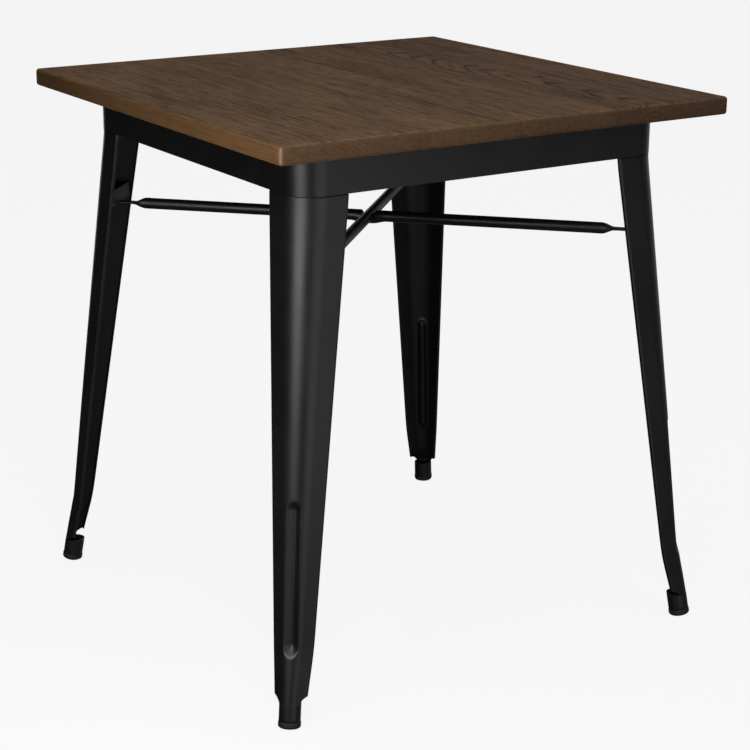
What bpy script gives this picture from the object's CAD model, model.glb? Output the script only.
"""Square side table: a top of six stained boards, four flared sheet-steel legs with rubber-capped
feet, and two crossed round tubes that tie the legs.

+X is right, -Y is front and +Z is up; the table stands on z = 0, centred on x = y = 0. The boards
run along Y. Shapes are in millimetres; lights, camera and bump depths are in metres. A leg is
drawn at the back right corner and turned about Z to the other three."""

import math

import bmesh
import bpy
import numpy as np
from mathutils import Matrix, Vector

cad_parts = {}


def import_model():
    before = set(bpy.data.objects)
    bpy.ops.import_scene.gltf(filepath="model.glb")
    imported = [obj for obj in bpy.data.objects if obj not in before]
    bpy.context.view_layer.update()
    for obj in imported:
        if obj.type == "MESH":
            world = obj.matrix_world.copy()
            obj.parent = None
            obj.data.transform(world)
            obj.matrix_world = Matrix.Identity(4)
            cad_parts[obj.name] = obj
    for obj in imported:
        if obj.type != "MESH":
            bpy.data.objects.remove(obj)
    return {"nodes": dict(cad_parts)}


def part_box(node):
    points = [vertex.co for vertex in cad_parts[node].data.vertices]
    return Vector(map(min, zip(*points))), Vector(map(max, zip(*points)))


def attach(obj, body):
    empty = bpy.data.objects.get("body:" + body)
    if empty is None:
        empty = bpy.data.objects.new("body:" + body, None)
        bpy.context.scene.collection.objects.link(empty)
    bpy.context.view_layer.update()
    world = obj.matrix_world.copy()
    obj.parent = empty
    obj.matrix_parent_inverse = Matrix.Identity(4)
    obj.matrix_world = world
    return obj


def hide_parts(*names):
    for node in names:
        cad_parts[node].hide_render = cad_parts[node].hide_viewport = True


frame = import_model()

MM = 0.001
ROOT2 = math.sqrt(2)
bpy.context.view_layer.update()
# name, turn about Z in degrees
CORNERS = [("back_right", 0), ("back_left", 90), ("front_left", 180), ("front_right", 270)]

# ------------------------------------------------------------------ mesh helpers


def add_object(name, data):
    ob = bpy.data.objects.new(name, data)
    bpy.context.scene.collection.objects.link(ob)
    return ob


def new_mesh(name, verts, faces, sharp_angle, materials):
    """A mesh object from millimetre vertices, shaded smooth below sharp_angle degrees."""
    mesh = bpy.data.meshes.new(name)
    mesh.from_pydata([tuple(float(c) * MM for c in v) for v in verts], [],
                     [tuple(int(i) for i in f) for f in faces])
    edit = bmesh.new()
    edit.from_mesh(mesh)
    bmesh.ops.recalc_face_normals(edit, faces=edit.faces)
    edit.to_mesh(mesh)
    edit.free()
    for poly in mesh.polygons:
        poly.use_smooth = True
    mesh.set_sharp_from_angle(angle=math.radians(sharp_angle))
    ob = add_object(name, mesh)
    for mat in materials:
        mesh.materials.append(mat)
    return ob


def stand_in(ob, cad_name):
    """Puts a finished piece in the place of its CAD piece."""
    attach(ob, "root")
    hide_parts(cad_name)


def add_row(verts, points):
    """Appends points and gives their indices."""
    start = len(verts)
    verts.extend(points)
    return list(range(start, len(verts)))


def strip(row_a, row_b, closed=False):
    """Quads between two index rows of equal length."""
    count = len(row_a)
    faces = []
    for i in range(count if closed else count - 1):
        j = (i + 1) % count
        faces.append((row_a[i], row_a[j], row_b[j], row_b[i]))
    return faces


def strips(rows, closed=False):
    return [face for a, b in zip(rows[:-1], rows[1:]) for face in strip(a, b, closed)]


def smooth(start, end, x):
    share = np.clip((x - start) / (end - start), 0.0, 1.0)
    return share * share * (3 - 2 * share)


def turned(points, degrees):
    """The points turned about Z."""
    cos, sin = math.cos(math.radians(degrees)), math.sin(math.radians(degrees))
    old = np.array(points, float)
    new = old.copy()
    new[:, 0] = old[:, 0] * cos - old[:, 1] * sin
    new[:, 1] = old[:, 0] * sin + old[:, 1] * cos
    return new


# ------------------------------------------------------------------ node helpers


class Value:
    """A node output; arithmetic on it adds scalar math nodes."""

    def __init__(self, tree, socket):
        self.tree = tree
        self.socket = socket

    def __add__(self, other):
        return self.tree.math("ADD", self, other)

    def __radd__(self, other):
        return self.tree.math("ADD", other, self)

    def __sub__(self, other):
        return self.tree.math("SUBTRACT", self, other)

    def __rsub__(self, other):
        return self.tree.math("SUBTRACT", other, self)

    def __mul__(self, other):
        return self.tree.math("MULTIPLY", self, other)

    def __truediv__(self, other):
        return self.tree.math("DIVIDE", self, other)


class Tree:
    """Short ways to write shader nodes."""

    def __init__(self, node_tree):
        self.nodes = node_tree.nodes
        self.links = node_tree.links

    def fill(self, node, inputs):
        """Links or sets inputs, given as {socket name or number: value}."""
        for key, value in inputs.items():
            if isinstance(value, Value):
                self.links.new(value.socket, node.inputs[key])
            else:
                node.inputs[key].default_value = value

    def node(self, kind, inputs={}, **props):
        node = self.nodes.new("ShaderNode" + kind)
        for key, value in props.items():
            setattr(node, key, value)
        self.fill(node, inputs)
        return node

    def make(self, kind, inputs={}, output=0, **props):
        """Adds a node and gives one of its outputs."""
        return Value(self, self.node(kind, inputs, **props).outputs[output])

    def math(self, operation, *values, clamp=False):
        return self.make("Math", dict(enumerate(values)), operation=operation, use_clamp=clamp)

    def vmath(self, operation, *values, output=0):
        return self.make("VectorMath", dict(enumerate(values)), output, operation=operation)

    def hypot(self, a, b):
        return self.math("SQRT", a * a + b * b)

    def noise(self, vector, scale, detail, rough, distort=0.0, colour=False):
        inputs = {"Vector": vector, "Scale": scale, "Detail": detail, "Roughness": rough,
                  "Distortion": distort}
        return self.make("TexNoise", inputs, "Color" if colour else "Fac")

    def ramp(self, fac, stops, mode="LINEAR"):
        """stops: (position, grey or colour)."""
        node = self.node("ValToRGB")
        node.color_ramp.interpolation = mode
        elements = node.color_ramp.elements
        while len(elements) < len(stops):
            elements.new(0.5)
        for element, (position, tone) in zip(elements, stops):
            element.position = position
            element.color = (*tone, 1) if isinstance(tone, tuple) else (tone, tone, tone, 1)
        self.fill(node, {0: fac})
        return Value(self, node.outputs[0])

    def mix(self, fac, a, b, share=None, mode="MIX"):
        """Mixes colours; share scales fac."""
        if share is not None:
            fac = fac * share
        a, b = (c if isinstance(c, Value) else (*c, 1) for c in (a, b))
        return self.make("Mix", {0: fac, 6: a, 7: b}, 2, data_type="RGBA", blend_type=mode)

    def tint(self, fac, base, tint):
        """Multiplies base by tint where fac is 1."""
        return self.mix(fac, base, self.mix(1.0, base, tint, mode="MULTIPLY"))

    def fade(self, x, start, end, low=0.0, high=1.0):
        """Smooth step from low at start to high at end."""
        return self.make("MapRange", {0: x, 1: start, 2: end, 3: low, 4: high},
                         interpolation_type="SMOOTHSTEP")

    def xyz(self, vector):
        return [Value(self, s) for s in self.node("SeparateXYZ", {0: vector}).outputs]


def centred(noise, amount):
    """Noise moved to swing about zero, amount wide."""
    return (noise - 0.5) * amount


def scaled(colour, factor):
    return tuple(c * factor for c in colour)


def between(a, b, share):
    """The colour that lies share of the way from a to b."""
    return tuple((1 - share) * p + share * q for p, q in zip(a, b))


def material(name):
    """A new material, its tree, and the object position in millimetres."""
    mat = bpy.data.materials.new(name)
    mat.use_nodes = True
    tree = Tree(mat.node_tree)
    position = tree.make("TexCoord", output="Object")
    point = tree.make("VectorMath", {0: position, "Scale": 1000.0}, operation="SCALE")
    return mat, tree, point


def finish_surface(tree, colour, rough, height, depth, strength, extra):
    """Fills the shader: depth (m) and strength belong to the bump, extra holds other inputs."""
    normal = tree.make("Bump", {"Strength": strength, "Distance": depth, "Height": height})
    tree.fill(tree.nodes["Principled BSDF"],
              {"Base Color": colour, "Roughness": rough, "Normal": normal, **extra})


# ------------------------------------------------------------------ materials


def edge_mask(tree, radius):
    """1 on convex and concave edges, 0 on flats."""
    bevelled = tree.make("Bevel", {"Radius": radius}, samples=4)
    normal = tree.make("NewGeometry", output="Normal")
    facing = tree.vmath("DOT_PRODUCT", bevelled, normal, output="Value")
    return tree.fade(facing, start=0.985, end=0.80)


def powder_coat(name, shade, rough, seed=(0, 0, 0), edges=True, gloss=0.5):
    """Satin black powder coat: fine orange peel, cloudy gloss, dust and rubbed edges."""
    dust_colour = (0.03, 0.029, 0.028)
    worn_colour = (0.030, 0.029, 0.028)
    mat, tree, point = material(name)
    point = tree.vmath("ADD", point, seed)
    peel = tree.noise(point, scale=0.85, detail=2.0, rough=0.55)
    broad_peel = tree.noise(point, scale=0.28, detail=1.0, rough=0.5)
    cloud = tree.noise(point, scale=0.012, detail=4.0, rough=0.6, distort=0.4)
    specks = tree.noise(point, scale=0.9, detail=3.0, rough=0.75)
    dust = tree.fade(specks, start=0.66, end=0.80) * tree.fade(cloud, start=0.48, end=0.68)
    tone = tree.mix(tree.fade(cloud, start=0.3, end=0.75),
                    (shade * 0.82,) * 3, (shade * 1.22, shade * 1.19, shade * 1.20))
    tone = tree.mix(dust, tone, dust_colour, share=0.35)
    roughness = tree.fade(cloud, start=0.25, end=0.75, low=rough - 0.05, high=rough + 0.06)
    roughness = roughness + centred(peel, amount=0.10)
    if edges:
        mask = edge_mask(tree, radius=0.0011)
        chips = tree.noise(point, scale=0.11, detail=5.0, rough=0.7)
        # every edge wears a little (0.15), chipped stretches more; 0.55 is the overall wear
        wear = (tree.fade(chips, start=0.42, end=0.62) + 0.15) * 0.55
        worn = tree.math("MULTIPLY", mask, wear, clamp=True)
        tone = tree.mix(worn, tone, worn_colour)
        roughness = roughness - worn * 0.10  # rubbed metal is smoother
    finish_surface(tree, tone, roughness, height=peel * 0.6 + broad_peel * 0.9,
                   depth=0.00007, strength=0.9,
                   extra={"IOR": 1.5, "Specular IOR Level": gloss,
                          "Specular Tint": (1.0, 0.955, 1.0, 1.0)})
    return mat


def wood(name, seed, pith, tilt, spacing, light, dark, ring_amount, warp, knot=None):
    """Hardwood: growth rings round a leaning pith, so long grain, figure and end grain agree.

    pith: (x, z) of the tree centre at y = 0 in mm. tilt: its drift per mm along the board.
    spacing: ring width in mm. warp: waviness of the rings in mm. knot: x, y and radius in mm."""
    mat, tree, point = material(name)
    seeded = tree.vmath("ADD", point, seed)
    x, y, z = tree.xyz(point)

    def grain(across, along, detail, rough, offset=None, colour=False):
        """Noise with its own frequency (per mm) across and along the grain."""
        stretched = tree.vmath("MULTIPLY", seeded, (across, along, across))
        if offset:
            stretched = tree.vmath("ADD", stretched, offset)
        return tree.noise(stretched, scale=1.0, detail=detail, rough=rough, colour=colour)

    # distance from the pith
    drift = tree.xyz(grain(across=0.0075, along=0.0019, detail=3.0, rough=0.5, colour=True))
    from_pith_x = (x - pith[0]) + (y * tilt[0] + centred(drift[0], amount=warp * 2))
    from_pith_z = (z - pith[1]) + (y * tilt[1] + centred(drift[2], amount=warp * 2))
    radius = tree.hypot(from_pith_x, from_pith_z)
    if knot:
        knot_x, knot_y, knot_radius = knot
        # the knot is drawn out along the grain, and pushes the rings round it
        knot_distance = tree.hypot(x - knot_x, (y - knot_y) * 0.45)
        decay = tree.math("EXPONENT", knot_distance * (-1.0 / (knot_radius * 1.6)))
        radius = radius + decay * (knot_radius * 2.4)
    radius = radius + centred(grain(across=0.055, along=0.0055, detail=3.0, rough=0.55),
                              amount=5.0)

    # each ring: pale early wood, then a dark late band of varying strength
    rings = radius / spacing
    phase = tree.math("FRACT", rings)
    year = tree.math("FLOOR", rings)
    strength = tree.make("TexWhiteNoise", {"W": year}, "Value", noise_dimensions="1D")
    strength = strength * 0.75 + 0.35
    late = tree.ramp(phase, [(0.0, 0.12), (0.45, 0.04), (0.78, 0.30), (0.92, 1.0), (0.97, 0.85),
                             (1.0, 0.12)], "EASE") * strength
    # open pores: short dark dashes, most of them in the early wood
    pore = tree.fade(grain(across=1.55, along=0.045, detail=2.0, rough=0.6), start=0.54, end=0.66)
    pore = pore * tree.ramp(phase, [(0.0, 1.0), (0.22, 0.9), (0.5, 0.25), (1.0, 0.35)])
    fibre = grain(across=3.4, along=0.035, detail=2.0, rough=0.6)
    brush = grain(across=0.42, along=0.006, detail=3.0, rough=0.6)
    blotch = grain(across=0.011, along=0.0045, detail=3.0, rough=0.55)
    streak = grain(across=0.17, along=0.0045, detail=2.0, rough=0.6)
    dash = grain(across=0.62, along=0.021, detail=2.0, rough=0.7)
    # short dark and pale flecks that follow the grain
    fleck = grain(across=0.34, along=0.027, detail=3.0, rough=0.7, offset=(7.3, 1.9, 4.4))

    darkness = late * ring_amount
    darkness = darkness + tree.fade(fleck, start=0.53, end=0.63, high=0.50)
    darkness = darkness - tree.fade(fleck, start=0.46, end=0.36, high=0.30)
    for noise, amount in ((brush, 1.7), (streak, 1.1), (dash, 2.0), (blotch, 1.1), (fibre, 0.5)):
        darkness = darkness + centred(noise, amount)
    darkness = tree.math("ADD", darkness, 0.20, clamp=True)
    middle = between(light, dark, share=0.45)
    colour = tree.ramp(darkness, [(0.0, light), (0.45, middle), (1.0, dark)])
    colour = tree.mix(pore, colour, scaled(dark, 0.42), share=0.62)

    normal = tree.xyz(tree.make("NewGeometry", output="Normal"))
    facing_x, facing_y, facing_z = (tree.math("ABSOLUTE", n) for n in normal)
    # end grain drinks more stain
    end = tree.fade(facing_y, start=0.55, end=0.85)
    colour = tree.mix(end, colour, middle, share=0.5)
    colour = tree.tint(end, colour, tint=(0.79, 0.74, 0.69))
    # the long edges took a warmer, thinner coat of stain, darker towards the back
    side = tree.fade(facing_x, start=0.55, end=0.85)
    colour = tree.mix(side, colour, between(light, dark, share=0.25), share=0.68)
    colour = tree.tint(side, colour, tint=(1.0, 0.93, 0.74))
    to_back = tree.fade(tree.xyz(point)[1], start=20.0, end=340.0)
    colour = tree.tint(side * to_back, colour, tint=(0.70, 0.66, 0.60))
    # the arrises are rubbed back to paler timber, the upright corner edges most
    flatness = tree.math("MAXIMUM", tree.math("MAXIMUM", facing_x, facing_y), facing_z)
    arris = tree.fade(flatness, start=0.985, end=0.80)
    patches = grain(across=0.06, along=0.03, detail=4.0, rough=0.65)
    rub = arris * tree.fade(patches, start=0.36, end=0.68, high=0.22)
    upright = tree.fade(tree.math("MINIMUM", facing_x, facing_y), start=0.42, end=0.66)
    rub = tree.math("MAXIMUM", rub, upright * 0.8)
    colour = tree.mix(rub, colour, scaled(light, 1.75), share=0.75)
    if knot:
        core = tree.fade(knot_distance, start=knot_radius * 0.75, end=knot_radius * 0.25)
        colour = tree.mix(core, colour, scaled(dark, 0.35), share=0.8)

    # pores are rough and sunk, rubbed places smooth, late wood slightly proud
    roughness = 0.54 + centred(brush, amount=0.22) + pore * 0.18 - rub * 0.08
    finish_surface(tree, colour, roughness,
                   height=late * 0.5 - pore * 0.8 + brush * 0.8 + fibre * 0.3,
                   depth=0.00028, strength=0.8, extra={"IOR": 1.46, "Specular IOR Level": 0.26})
    return mat


def rubber(name):
    """Dull black rubber, scuffed near the floor."""
    mat, tree, point = material(name)
    pits = tree.noise(point, scale=1.4, detail=3.0, rough=0.6)
    cloud = tree.noise(point, scale=0.09, detail=3.0, rough=0.6)
    z = tree.xyz(point)[2]
    patches = tree.noise(point, scale=0.35, detail=4.0, rough=0.7)
    scuff = tree.fade(z, start=6.0, end=0.2) * tree.fade(patches, start=0.42, end=0.62)
    tone = tree.mix(cloud, (0.0062, 0.0062, 0.0062), (0.0125, 0.0123, 0.0118))
    tone = tree.mix(scuff, tone, (0.07, 0.066, 0.060), share=0.5)
    finish_surface(tree, tone, rough=0.50 + cloud * 0.2, height=pits,
                   depth=0.00008, strength=0.7, extra={"Specular IOR Level": 0.35})
    return mat


def plated(name, tone_a, tone_b, rough):
    """Zinc or black zinc fixings with fine turning marks and a cloudy film."""
    mat, tree, point = material(name)
    x, y, z = tree.xyz(point)
    squeezed = tree.make("CombineXYZ", {0: x * 0.6, 1: y * 0.6, 2: z * 7.0})
    lines = tree.noise(squeezed, scale=1.0, detail=2.0, rough=0.6)
    cloud = tree.noise(point, scale=0.5, detail=4.0, rough=0.65)
    tone = tree.mix(tree.fade(cloud, start=0.3, end=0.7), tone_a, tone_b)
    finish_surface(tree, tone, rough=rough + centred(cloud, amount=0.25), height=lines,
                   depth=0.00004, strength=0.6, extra={"Metallic": 1.0})
    return mat


# ------------------------------------------------------------------ timber top

TOP_Z = 760.0
BOARD_THICK = 24.0
TOP_HALF = 350.0        # half the length of a board
ARRIS = 4.5             # rounding of the outer edges
PLAN_CORNER = 7.0       # rounding of the top's corners, seen from above
JOINT_ARRIS = 0.22      # easing where two boards meet
WEAR_REACH = 14.0       # how far in from the ends the wear goes
SIDE_STEPS = 4          # faces up each long side

# seed, pith, tilt, ring spacing, light stain, dark stain, ring strength, warp, knot
BOARDS = [
    ((311, 40, 7), (-470, 640), (0.020, 0.03), 4.6,
     (0.155, 0.089, 0.046), (0.036, 0.019, 0.010), 0.62, 12),
    ((77, 913, 52), (-330, 600), (-0.030, 0.04), 5.0,
     (0.150, 0.086, 0.044), (0.034, 0.018, 0.010), 0.7, 14),
    ((540, 121, 19), (-250, 655), (0.025, -0.03), 4.4,
     (0.154, 0.088, 0.045), (0.036, 0.019, 0.010), 0.62, 15),
    ((18, 402, 88), (-70, 640), (0.035, 0.05), 5.2,
     (0.140, 0.079, 0.040), (0.030, 0.016, 0.009), 0.85, 16),
    ((905, 66, 31), (205, 700), (0.035, 0.10), 5.4,
     (0.136, 0.077, 0.040), (0.028, 0.015, 0.009), 1.6, 18, (236.0, -82.0, 6.0)),
    ((260, 770, 5), (420, 610), (-0.03, 0.03), 4.8,
     (0.136, 0.077, 0.040), (0.028, 0.015, 0.009), 0.85, 13),
]


def board_stations():
    """Places along y, close together where the ends are rounded."""
    near = [ARRIS * (1 - math.cos(a)) for a in np.linspace(0, math.pi / 2, 6)]
    near += [5.2, 6.1, PLAN_CORNER]
    middle = list(np.arange(-TOP_HALF + 12, TOP_HALF - 11, 9.0))
    return [-TOP_HALF + d for d in near] + middle + [TOP_HALF - d for d in reversed(near)]


def round_off(radius, depth):
    """How far a rounded edge stands back at this depth from the end."""
    if depth >= radius:
        return 0.0
    return radius - math.sqrt(max(0.0, radius * radius - (radius - depth) ** 2))


def plank(index, x0, x1):
    """One board: rounded outer arrises, fine joint lines, slight cup and hand-eased wear."""
    first, last = index == 0, index == 5
    wave = np.random.RandomState(40 + index).uniform(-1, 1, (4, 4))
    top_count = max(12, int((x1 - x0) / 5.0))
    left_steps = 6 if first else 2
    right_steps = 6 if last else 2

    def wear(x, column):
        """How far the end arris is rubbed back, in mm."""
        total = 0.0
        for k in range(4):
            phase = wave[k, (column + 1) % 4] * 6
            total += wave[k, column] * math.sin(x * (0.011 + 0.013 * k) + phase)
        return 0.11 * total

    def top_height(x, y, depth):
        """Height of the top face against a flat one."""
        across = (x - x0) / (x1 - x0) * 2 - 1
        cup = -0.10 * (1 - across * across) + 0.05 * math.sin(y * 0.008 + index)
        height = min(0.0, cup) * min(1.0, max(0.0, (depth - ARRIS) / 12.0))
        if depth < WEAR_REACH:
            worn = max(0.0, wear(x, 0 if y < 0 else 2))
            height -= worn * (1 - depth / WEAR_REACH) * 0.8
        return height

    def loop_at(y):
        """The board's outline at y, clockwise from the top left as seen from the front."""
        depth = TOP_HALF - abs(y)
        inset = round_off(ARRIS, depth)
        plan_inset = round_off(PLAN_CORNER, depth)
        left = x0 + (plan_inset if first else 0.0)
        right = x1 - (plan_inset if last else 0.0)
        bottom, top = TOP_Z - BOARD_THICK + inset, TOP_Z - inset
        outer_round = max(0.25, ARRIS - inset * 0.9)
        left_round = outer_round if first else JOINT_ARRIS
        right_round = outer_round if last else JOINT_ARRIS
        loop = []

        def corner(x, z, radius, start, steps, count):
            for k in range(1, count + 1):
                angle = start + math.pi / 2 * k / steps
                loop.append((x + radius * math.sin(angle), y, z + radius * math.cos(angle)))

        def side(x, z_from, z_to):
            for k in range(1, SIDE_STEPS + 1):
                loop.append((x, y, z_from + (z_to - z_from) * k / SIDE_STEPS))

        left_x, right_x = left + left_round, right - right_round
        xs = np.linspace(left_x, right_x, top_count)
        loop += [(x, y, top + top_height(x, y, depth)) for x in xs]
        corner(right_x, top - right_round, right_round, 0, right_steps, right_steps)
        side(right, top - right_round, bottom + right_round)
        corner(right_x, bottom + right_round, right_round, math.pi / 2, right_steps, right_steps)
        loop += [(x, y, bottom) for x in xs[::-1][1:]]
        corner(left_x, bottom + left_round, left_round, math.pi, left_steps, left_steps)
        side(left, bottom + left_round, top - left_round)
        # the last point of this corner is the first of the loop
        corner(left_x, top - left_round, left_round, math.pi * 1.5, left_steps, left_steps - 1)
        return loop

    verts = []
    rows = [add_row(verts, loop_at(y)) for y in board_stations()]
    faces = strips(rows, closed=True)
    right_end = top_count + 2 * right_steps + SIDE_STEPS
    for row in (rows[0], rows[-1]):
        bottom_row = row[right_end - 1:right_end - 1 + top_count][::-1]
        faces += strip(row[:top_count], bottom_row)
        faces.append(tuple(row[top_count - 1:right_end]))
        faces.append(tuple(row[right_end + top_count - 2:] + [row[0]]))
    number = index + 1
    timber = wood("stained_timber_%d" % number, *BOARDS[index])
    ob = new_mesh("board_%d" % number, verts, faces, 40, [timber])
    stand_in(ob, "top_plank_%d" % number)


plank_boxes = [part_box("top_plank_%d" % (i + 1)) for i in range(6)]
for i, (low, high) in enumerate(plank_boxes):
    plank(i, low.x / MM, high.x / MM)

# ------------------------------------------------------------------ steel, rubber and fixings

MAT = {
    "leg": powder_coat("leg_powder_coat", shade=0.0048, rough=0.38),
    "leg_inside": powder_coat("leg_inside_powder_coat", shade=0.0046, rough=0.42,
                              seed=(33, 8, 61), gloss=0.32),
    "apron": powder_coat("apron_powder_coat", shade=0.0045, rough=0.37, seed=(91, 17, 44)),
    "brace": powder_coat("brace_powder_coat", shade=0.0048, rough=0.35, seed=(12, 55, 9),
                         edges=False, gloss=0.33),
    "inner": powder_coat("inner_powder_coat", shade=0.0042, rough=0.45, seed=(5, 31, 77),
                         gloss=0.28),
    "rubber": rubber("foot_cap_rubber"),
    "fixings": plated("black_zinc", tone_a=(0.05, 0.05, 0.055), tone_b=(0.10, 0.10, 0.105),
                      rough=0.42),
    "screws": plated("zinc", tone_a=(0.42, 0.40, 0.36), tone_b=(0.60, 0.58, 0.52), rough=0.34),
}

# ------------------------------------------------------------------ feet

FOOT_Z = 33.0               # where the sheet of the leg meets the tube of the foot
RIM_Z = 9.0                 # lower rim of the tube, on its axis
FOOT_SEGMENTS = 72
FOOT_LEAN = np.array([0.13, 0.13, -1.0])    # down the tube, outwards with the flare
FOOT_LEAN /= np.linalg.norm(FOOT_LEAN)
FOOT_SIDE = np.array([-1, 1, 0]) / ROOT2
FOOT_FORE = np.cross(FOOT_LEAN, FOOT_SIDE)
FOOT_RIM = np.array([327.3, 327.3, FOOT_Z]) + FOOT_LEAN * ((FOOT_Z - RIM_Z) / -FOOT_LEAN[2])

# tube section: radius, distance up the axis from the rim, level height if cut flat
FOOT_TUBE = [
    (12.7, 0.5, None), (13.1, 0.1, None), (13.5, 0.0, None), (14.0, 0.15, None),
    (14.3, 0.6, None), (14.3, 5, None), (14.3, 10, None), (14.3, 15, None), (14.3, 19.5, None),
    (14.3, 23, FOOT_Z - 0.05), (14.25, 23, FOOT_Z), (12.9, 23, FOOT_Z), (12.7, 23, FOOT_Z - 0.3),
    (12.7, 16, None), (12.7, 8, None),
]
CAP_RADIUS, SOLE_ROUND, SOLE_TOP = 14.9, 3.0, -5.4
# cap section: radius, distance up the axis from the rim
CAP_OUTLINE = [
    (0.0, 10.0), (11.5, 10.0), (12.5, 9.0), (12.5, 0.3), (13.9, 0.05), (14.4, -0.12),
    (14.7, -0.45), (14.88, -1.0), (CAP_RADIUS, -2.4), (CAP_RADIUS, -4.0), (CAP_RADIUS, SOLE_TOP),
]
CAP_OUTLINE += [(CAP_RADIUS - SOLE_ROUND + SOLE_ROUND * math.cos(a),
                 SOLE_TOP - SOLE_ROUND * math.sin(a)) for a in np.linspace(0, math.pi / 2, 9)[1:]]
CAP_OUTLINE += [(9.0, -8.4), (8.4, -8.0), (7.6, -8.4), (0.0, -8.4)]


def foot_ring(radius, up, level=None):
    """A ring about the foot's axis; level slides its points along the axis to one height."""
    ring = []
    for k in range(FOOT_SEGMENTS):
        angle = 2 * math.pi * k / FOOT_SEGMENTS
        spoke = (FOOT_SIDE * math.cos(angle) + FOOT_FORE * math.sin(angle)) * radius
        point = FOOT_RIM - FOOT_LEAN * up + spoke
        if level is not None:
            point = point + FOOT_LEAN * ((point[2] - level) / -FOOT_LEAN[2])
        ring.append(tuple(point))
    return ring


def foot_cap(name, angle):
    """Moulded cap: a plug in the tube, a rolled collar and a softened, ground-flat sole."""
    verts, faces = [], []
    rows = [add_row(verts, foot_ring(radius, up) if radius else [tuple(FOOT_RIM - FOOT_LEAN * up)])
            for radius, up in CAP_OUTLINE]
    count = FOOT_SEGMENTS
    for a, b in zip(rows[:-1], rows[1:]):
        if len(a) == 1:
            faces += [(a[0], b[k], b[(k + 1) % count]) for k in range(count)]
        elif len(b) == 1:
            faces += [(a[(k + 1) % count], a[k], b[0]) for k in range(count)]
        else:
            faces += strip(a, b, closed=True)
    verts = np.array(verts)
    verts[:, 2] = np.maximum(verts[:, 2], 0.0)
    ob = new_mesh("cap_" + name, turned(verts, angle), faces, 50, [MAT["rubber"]])
    stand_in(ob, "foot_cap_" + name)


# ------------------------------------------------------------------ legs

SHEET = 1.6         # thickness of the steel
LIP = 5.0           # width of the strip turned in along both edges
LIP_BEND = 2.3
# z, place of the outer faces in x and y, width of each face, radius of the corner between them
LEG_STATIONS = np.array([
    (-20, 348.4, 28.0, 14.0),
    (33, 341.6, 31.6, 14.3),
    (70, 336.7, 35.6, 16.5),
    (85, 334.6, 37.4, 18.3),
    (100, 332.9, 39.0, 20.0),
    (120, 331.2, 40.2, 21.5),
    (677.8, 287.9, 73.3, 42.0),
    (760, 287.9, 73.3, 42.0),
])
KNEE, SHOULDER = LEG_STATIONS[5], LEG_STATIONS[6]
BEND_REACH = 16.0   # how far the bends between stations are rounded, up and down

# bead pressed into the corner of the leg
BEAD_LO, BEAD_HI = 97.0, 298.0
BEAD_DEPTH_LO, BEAD_DEPTH_HI = 8.5, 6.5
BEAD_REACH = 17.0   # half width that the pressing can touch
BEAD_WALL = 0.86    # slope of its walls
BEAD_FLOOR = 8.0    # roundness of its floor
BEAD_BLEND = 2.0    # softness of its shoulders

# lower edge of the sheet: it stays at the tube's top, and rises in a curve away from the tube
EDGE_CENTRE, EDGE_RADIUS, EDGE_SECTION_Z = 327.2, 14.9, 34.0
EDGE_CURVE, EDGE_CURVE_SQUARED, EDGE_MAX_Z = 9.2, 84.6, 42.0
LEVEL_Z = 84.0      # above this the rings are level

# z, distance the section is drawn in
LEG_RINGS = [(z, 0.0) for z in (*np.arange(FOOT_Z, 83, 3.0), *np.arange(LEVEL_Z, 308, 2.0),
                                *np.arange(308, 668, 9.0), 671, 675)]
# the step in to the tongue at the top
LEG_RINGS += [(676.7, 0.0), (677.3, 0.12), (677.7, 0.45), (678.0, 0.95), (678.25, 1.45),
              (678.6, 1.75), (679.5, 1.8), (690.0, 1.8), (715.0, 1.8)]


def soft(z, column):
    """A column of the stations at z, rounded over the bends."""
    reach = BEND_REACH
    if z < 45:
        reach = max(0.5, min(reach, (z - 27) * 0.8 + 0.5))
    offsets = np.linspace(-reach, reach, 9)
    return float(np.mean(np.interp(z + offsets, LEG_STATIONS[:, 0], LEG_STATIONS[:, column])))


def apex(z):
    """Corner line of the straight part of the leg, along its diagonal."""
    share = (z - KNEE[0]) / (SHOULDER[0] - KNEE[0])
    face = KNEE[1] + share * (SHOULDER[1] - KNEE[1])
    radius = KNEE[3] + share * (SHOULDER[3] - KNEE[3])
    return ROOT2 * face - radius * (ROOT2 - 1)


def press(x, y, z):
    """Shift in x, and the same in y, that presses the bead into the sheet."""
    if not BEAD_LO - 8 < z < BEAD_HI + 8:
        return 0.0
    outward, across = (x + y) / ROOT2, (y - x) / ROOT2
    past_end = max(0.0, BEAD_LO + 12.0 - z, z - (BEAD_HI - 11.0))
    distance = math.hypot(across, past_end)
    if distance > BEAD_REACH:
        return 0.0
    wall = BEAD_WALL * (math.sqrt(distance * distance + BEAD_FLOOR) - math.sqrt(BEAD_FLOOR))
    near_z = min(max(z, BEAD_LO), BEAD_HI)
    share = (near_z - BEAD_LO) / (BEAD_HI - BEAD_LO)
    depth = BEAD_DEPTH_LO + share * (BEAD_DEPTH_HI - BEAD_DEPTH_LO)
    pressed = apex(near_z) - depth + (apex(z) - apex(near_z)) + wall
    blend = max(BEAD_BLEND - abs(outward - pressed), 0.0) / BEAD_BLEND
    moved = min(outward, pressed) - blend * blend * BEAD_BLEND * 0.25 - outward
    return moved / ROOT2


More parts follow.
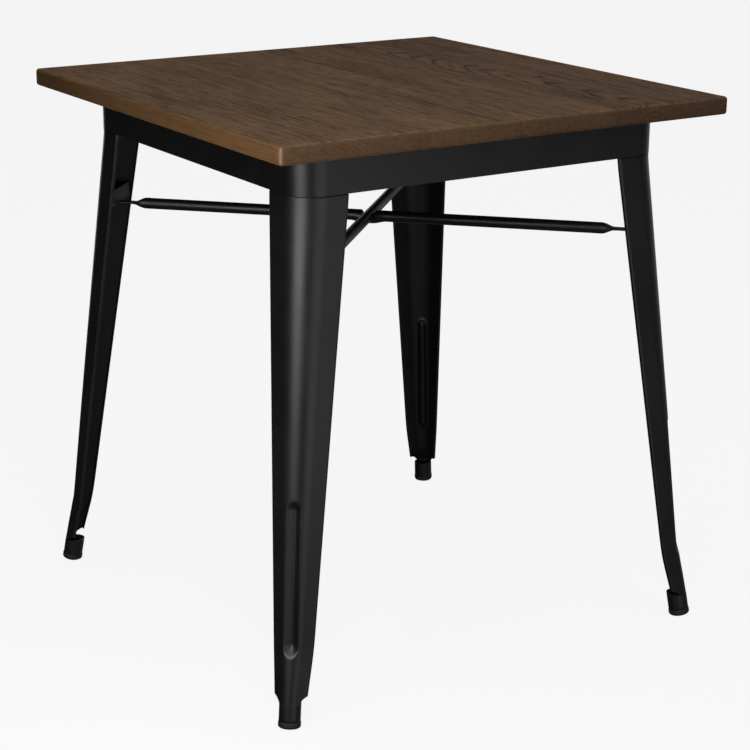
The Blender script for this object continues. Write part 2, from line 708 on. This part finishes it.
def section(z, inset=0.0):
    """The leg sheet at z, lip to lip: outer points with their outward normals."""
    face, width, radius = soft(z, 1), soft(z, 2), soft(z, 3)
    edge = face - width
    face -= inset
    radius -= inset * 2.11
    bend = LIP_BEND
    points = []

    def line(start, end, normal, steps, skip_start=True):
        for k in range(1 if skip_start else 0, steps + 1):
            share = k / steps
            points.append((start[0] + (end[0] - start[0]) * share,
                           start[1] + (end[1] - start[1]) * share, *normal))

    def arc(x, y, radius, start, end, steps):
        for k in range(1, steps + 1):
            angle = math.radians(start + (end - start) * k / steps)
            cos, sin = math.cos(angle), math.sin(angle)
            points.append((x + radius * cos, y + radius * sin, cos, sin))

    line((face - LIP, edge), (face - bend, edge), (0, -1), 2, skip_start=False)
    arc(face - bend, edge + bend, bend, -90, 0, 5)
    line((face, edge + bend), (face, face - radius), (1, 0), 14)
    arc(face - radius, face - radius, radius, 0, 90, 52)
    line((face - radius, face), (edge + bend, face), (0, 1), 14)
    arc(edge + bend, face - bend, bend, 90, 180, 5)
    line((edge, face - bend), (edge, face - LIP), (-1, 0), 2)
    return points


def lower_edge():
    """Height of the sheet's lower edge at each point of the section."""
    heights = []
    for x, y, _, _ in section(EDGE_SECTION_Z):
        away = math.hypot(x - EDGE_CENTRE, y - EDGE_CENTRE) - EDGE_RADIUS
        height = FOOT_Z
        if away > 0:
            drop = (EDGE_CURVE - min(away, EDGE_CURVE)) ** 2
            rise = math.sqrt(max(0.0, EDGE_CURVE_SQUARED - drop))
            height = min(EDGE_MAX_Z, FOOT_Z + rise)
        heights.append(height)
    return heights


def leg_geometry():
    """Vertices and faces of a leg, and the number of faces on one side of its sheet."""
    low = lower_edge()
    outer_points, inner_points = [], []
    for ring_z, inset in LEG_RINGS:
        # near the foot the points of a ring sit at different heights, so each has its own section
        sections = {}
        outer_row, inner_row = [], []
        for i, low_z in enumerate(low):
            z = ring_z
            if ring_z < LEVEL_Z:
                z = low_z + (LEVEL_Z - low_z) * ((ring_z - FOOT_Z) / (LEVEL_Z - FOOT_Z))
            key = round(z, 3)
            if key not in sections:
                sections[key] = section(z, inset)
            x, y, normal_x, normal_y = sections[key][i]
            shift = press(x, y, z)
            outer_row.append((x + shift, y + shift, z))
            inner_row.append((x - normal_x * SHEET + shift, y - normal_y * SHEET + shift, z))
        outer_points.append(outer_row)
        inner_points.append(inner_row)
    verts = []
    outer = [add_row(verts, row) for row in outer_points]
    inner = [add_row(verts, row) for row in inner_points]
    faces = strips(outer)
    side_count = len(faces)
    for a, b in zip(inner[:-1], inner[1:]):
        faces += strip(b, a)
    faces += strip(inner[0], outer[0])
    faces += strip(outer[-1], inner[-1])
    faces += strip([row[0] for row in inner], [row[0] for row in outer])
    faces += strip([row[-1] for row in outer], [row[-1] for row in inner])
    # rolled tube foot, leaning with the flare
    tube = [add_row(verts, foot_ring(*station)) for station in FOOT_TUBE]
    faces += strips(tube + tube[:1], closed=True)
    return verts, faces, side_count


def leg(name, angle, verts, faces, side_count):
    ob = new_mesh("leg_shell_" + name, turned(verts, angle), faces, 38,
                  [MAT["leg"], MAT["leg_inside"]])
    # the inner side of the sheet follows the outer in the face list
    for poly in list(ob.data.polygons)[side_count:2 * side_count]:
        poly.material_index = 1
    stand_in(ob, "leg_" + name)


leg_parts = leg_geometry()
for corner_name, corner_angle in CORNERS:
    leg(corner_name, corner_angle, *leg_parts)
for corner_name, corner_angle in CORNERS:
    foot_cap(corner_name, corner_angle)

# ------------------------------------------------------------------ cross brace

BRACE_Z = 570.0
BRACE_RADIUS = 8.0
BRACE_SEGMENTS = 40
SADDLE_RADIUS = 8.05
SADDLE_EDGE = 11.2      # where the lip of the saddle ends
TAB_ROUND_START, TAB_ROUND = 384.0, 9.5
UNCUT = 99.0            # a cut height above the whole tube
# distance from the crossing
BRACE_STATIONS = [
    0, 2, 4, 5.5, 6.6, 7.4, 7.9, 8.15, 8.6, 9.2, 9.9, 10.6, 11.2, 12.5, 14, 16, 18, 20, 22, 24,
    26, 30, 40, 60, *range(90, 320, 30), 318, 325, 329, 331, 333, 335, 337, 339, 341, 343, 345,
    347, 349.5, 353, 358, 364, 369, 373, 377, 381, 384, 387, 389.5, 391.5, 392.8, 393.4,
]


def brace_shape(distance, under):
    """Half width, half height, squareness, centre height and cut height of the tube."""
    squash = (1 - smooth(6.0, 26.0, distance)) if under else 0.0
    flat = smooth(331.0, 349.5, distance)
    tab = smooth(362.0, 380.0, distance)
    half_width = BRACE_RADIUS + 1.4 * squash - 1.8 * flat * (1 - tab) + 1.0 * tab
    # slight swell where the flattening starts
    half_width += 0.9 * math.exp(-((distance - 340.0) / 5.0) ** 2)
    if distance > TAB_ROUND_START:
        past = (distance - TAB_ROUND_START) / TAB_ROUND
        half_width *= math.sqrt(max(0.02, 1 - past ** 2))
    half_height = BRACE_RADIUS - 6.3 * flat + 1.7 * squash
    cut = UNCUT
    if under and distance < SADDLE_RADIUS:
        cut = -math.sqrt(SADDLE_RADIUS ** 2 - distance * distance)
    elif under and distance < SADDLE_EDGE:
        cut = 10.0 * (distance - SADDLE_RADIUS) / 3.0
    return half_width, half_height, 2.0 + 3.0 * flat, BRACE_Z - 1.7 * squash, BRACE_Z + cut


def brace(name, cad_name, under, angle):
    """Round tube with flat tab ends; the under one is pressed into a saddle at the crossing."""
    verts, rows = [], []
    for x in [-s for s in reversed(BRACE_STATIONS[1:])] + BRACE_STATIONS:
        half_width, half_height, square, centre_z, cut_z = brace_shape(abs(x), under)
        ring = []
        for k in range(BRACE_SEGMENTS):
            around = 2 * math.pi * k / BRACE_SEGMENTS
            cos, sin = math.cos(around), math.sin(around)
            y = half_width * math.copysign(abs(cos) ** (2 / square), cos)
            z = centre_z + half_height * math.copysign(abs(sin) ** (2 / square), sin)
            ring.append((x, y, min(z, cut_z)))
        rows.append(add_row(verts, ring))
    faces = strips(rows, closed=True)
    for row in (rows[0], rows[-1]):
        # each end closes with faces from its upper half to its lower half
        for k in range(BRACE_SEGMENTS // 2):
            lower = row[BRACE_SEGMENTS - k - 1], row[(BRACE_SEGMENTS - k) % BRACE_SEGMENTS]
            # the halves share their end points, so the outermost faces are triangles
            faces.append(tuple(dict.fromkeys((row[k], row[k + 1], *lower))))
    ob = new_mesh(name, turned(verts, angle), faces, 60, [MAT["brace"]])
    stand_in(ob, cad_name)


brace("cross_tube_over", "brace_tube_over", under=False, angle=45)
brace("cross_tube_under", "brace_tube_under", under=True, angle=-45)

# ------------------------------------------------------------------ CAD pieces that stay

# start of the name, material, bevel width in mm, bevel segments
KEPT = [
    ("apron_", "apron", 0.5, 2),
    ("corner_gusset_", "inner", 0.3, 2),
    ("leg_top_plate_", "inner", 0.3, 2),
    ("brace_bracket_", "inner", 0.3, 2),
    ("leg_bolts", "fixings", 0.15, 1),
    ("leg_bolt_washers", "fixings", 0.15, 1),
    ("leg_bolt_weld_nuts", "fixings", 0.15, 1),
    ("brace_end_bolts", "fixings", 0.15, 1),
    ("brace_end_washers", "fixings", 0.15, 1),
    ("brace_end_nuts", "fixings", 0.15, 1),
    ("top_screws", "screws", 0.0, 0),
]


def keep(ob, mat, width, segments):
    """Gives a CAD piece its material, smooth shading and softened edges."""
    ob.data.materials.clear()
    ob.data.materials.append(mat)
    for poly in ob.data.polygons:
        poly.use_smooth = True
        poly.material_index = 0
    if width:
        bevel = ob.modifiers.new("soft_edges", "BEVEL")
        bevel.width = width * MM
        bevel.segments = segments
        bevel.limit_method = "ANGLE"
        bevel.angle_limit = math.radians(40)
        bevel.harden_normals = True
        bevel.use_clamp_overlap = True


for prefix, mat_name, bevel_width, bevel_segments in KEPT:
    for node_name, piece in frame["nodes"].items():
        if node_name.startswith(prefix):
            keep(piece, MAT[mat_name], bevel_width, bevel_segments)

# ------------------------------------------------------------------ floor


def floor():
    """A pale floor that glows only to the camera and is darker there as a diffuser."""
    mesh = bpy.data.meshes.new("floor")
    half = 30.0
    mesh.from_pydata([(-half, -half, 0), (half, -half, 0), (half, half, 0), (-half, half, 0)],
                     [], [(0, 1, 2, 3)])
    ob = add_object("floor", mesh)
    mat = bpy.data.materials.new("pale_floor")
    mat.use_nodes = True
    tree = Tree(mat.node_tree)
    tree.nodes.clear()
    glow, diffuse_tone, camera_drop = 0.885, 0.14, 0.06
    to_camera = tree.make("LightPath", output="Is Camera Ray")
    emission = tree.make("Emission", {"Color": (1, 1, 1, 1), "Strength": to_camera * glow})
    diffuse = tree.make("BsdfDiffuse", {"Color": diffuse_tone - to_camera * camera_drop})
    both = tree.make("AddShader", {0: diffuse, 1: emission})
    tree.node("OutputMaterial", {"Surface": both})
    mesh.materials.append(mat)
    ob.visible_glossy = False


floor()

# ------------------------------------------------------------------ light

# brightness round the horizon in reflections: degrees from -Y towards -X, value
HORIZON = [(-180, 0.012), (-128, 0.024), (-108, 0.036), (-88, 0.022), (-62, 0.017), (-38, 0.022),
           (-10, 0.028), (25, 0.03), (60, 0.022), (92, 0.009), (120, 0.002), (148, 0.003),
           (180, 0.009)]
HORIZON_GAIN = 6.0
SKY_PATCH = 1.5             # reflected brightness overhead, on the front left
PATCH_SIDE = (-0.547, -0.837)   # x and y of the way to that patch
SOFT_BASE, SOFT_RISE = 0.04, 0.20   # light on matt surfaces: from below, and added from above
BACKDROP = (0.921, 0.921, 0.921)


def world():
    """Separate surroundings for matt surfaces, for reflections and for the camera."""
    studio = bpy.data.worlds.new("studio")
    bpy.context.scene.world = studio
    studio.use_nodes = True
    tree = Tree(studio.node_tree)
    tree.nodes.clear()
    x, y, z = tree.xyz(tree.make("TexCoord", output="Generated"))
    azimuth = tree.math("ARCTAN2", x * -1.0, y * -1.0)
    ring = tree.ramp(azimuth / (2 * math.pi) + 0.5,
                     [(degrees / 360.0 + 0.5, value) for degrees, value in HORIZON], "EASE")
    ring = ring * HORIZON_GAIN
    toward = x * PATCH_SIDE[0] + y * PATCH_SIDE[1]
    patch = tree.fade(z, start=0.45, end=0.85) * tree.fade(toward, start=-0.10, end=0.22)
    reflected = ring + patch * SKY_PATCH
    soft_light = SOFT_BASE + tree.fade(z, start=-0.2, end=1.0) * SOFT_RISE
    path = tree.node("LightPath")
    light = tree.mix(Value(tree, path.outputs["Is Glossy Ray"]), soft_light, reflected)
    light = tree.mix(Value(tree, path.outputs["Is Camera Ray"]), light, BACKDROP)
    background = tree.make("Background", {"Color": light, "Strength": 1.0})
    tree.node("OutputWorld", {"Surface": background})
    studio.cycles.sampling_method = "NONE"


def area(name, place, target, width, height, power, colour=(1, 1, 1)):
    light = bpy.data.lights.new(name, "AREA")
    light.shape = "RECTANGLE"
    light.size, light.size_y = width, height
    light.energy = power
    light.color = colour
    ob = add_object(name, light)
    ob.location = place
    aim = Vector(target) - Vector(place)
    ob.rotation_euler = aim.to_track_quat("-Z", "Y").to_euler()
    return ob


# name, place, target, width, height, power in watts, colour
SOFT_BOXES = [  # not seen in reflections
    ("left_edge_box", (-1.02, -0.58, 0.42), (-0.375, -0.36, 0.75), 0.36, 0.30, 5.8,
     (1.0, 0.97, 0.92)),
    ("near_left_box", (-0.85, -1.30, 1.40), (-0.33, -0.30, 0.70), 0.7, 0.9, 11.0,
     (1.0, 0.98, 0.95)),
    ("right_box", (1.0, -2.9, 1.5), (0, 0, 0.5), 1.6, 1.6, 10.0),
    ("overhead_box", (-0.1, -0.2, 2.6), (0, -0.1, 0.7), 2.0, 2.0, 16.0),
]
GLOSS_CARDS = [  # seen in reflections, no light on matt surfaces
    ("corner_card", (-1.52, -0.86, 0.94), (-0.33, -0.33, 0.94), 0.85, 0.98, 15.0,
     (0.99, 0.99, 1.0)),
    ("corner_card_low", (-1.52, -0.86, 0.19), (-0.33, -0.33, 0.19), 0.80, 0.31, 0.55,
     (0.99, 0.99, 1.0)),
    ("front_card", (0.12, -2.0, 0.55), (0.12, 0.0, 0.55), 1.5, 1.7, 7.4),
    ("back_card", (0.75, 2.30, 0.32), (0.75, 0.0, 0.32), 2.0, 0.8, 9.0),
    ("side_card", (2.30, 0.55, 0.32), (0.0, 0.0, 0.32), 1.3, 0.8, 1.0),
]

world()
for row in SOFT_BOXES:
    area(*row).visible_glossy = False
for row in GLOSS_CARDS:
    area(*row).visible_diffuse = False

# ------------------------------------------------------------------ camera

CAMERA_TARGET = (0.01277, 0.0, 0.32927)
CAMERA_DISTANCE = 2.84370
AZIMUTH, ELEVATION, ROLL = (math.radians(d) for d in (-33.1946, 17.5183, 0.4556))


def camera():
    """Looks at the target from the front left; azimuth is measured from -Y towards +X."""
    back = Vector((math.sin(AZIMUTH) * math.cos(ELEVATION),
                   -math.cos(AZIMUTH) * math.cos(ELEVATION), math.sin(ELEVATION)))
    level = Vector((math.cos(AZIMUTH), math.sin(AZIMUTH), 0.0))
    rise = back.cross(level)
    right = level * math.cos(ROLL) + rise * math.sin(ROLL)
    upward = -level * math.sin(ROLL) + rise * math.cos(ROLL)
    place = Vector(CAMERA_TARGET) + back * CAMERA_DISTANCE
    data = bpy.data.cameras.new("camera")
    data.sensor_fit = "HORIZONTAL"
    data.sensor_width = 36.0
    data.lens = 93.20448
    data.clip_start, data.clip_end = 0.05, 100.0
    ob = add_object("camera", data)
    columns = (right, upward, back, place)
    ob.matrix_world = Matrix([[c[i] for c in columns] for i in range(3)] + [[0, 0, 0, 1]])
    bpy.context.scene.camera = ob


camera()
bpy.context.scene.view_settings.view_transform = "Standard"
bpy.context.scene.view_settings.look = "None"

bpy.context.view_layer.update()
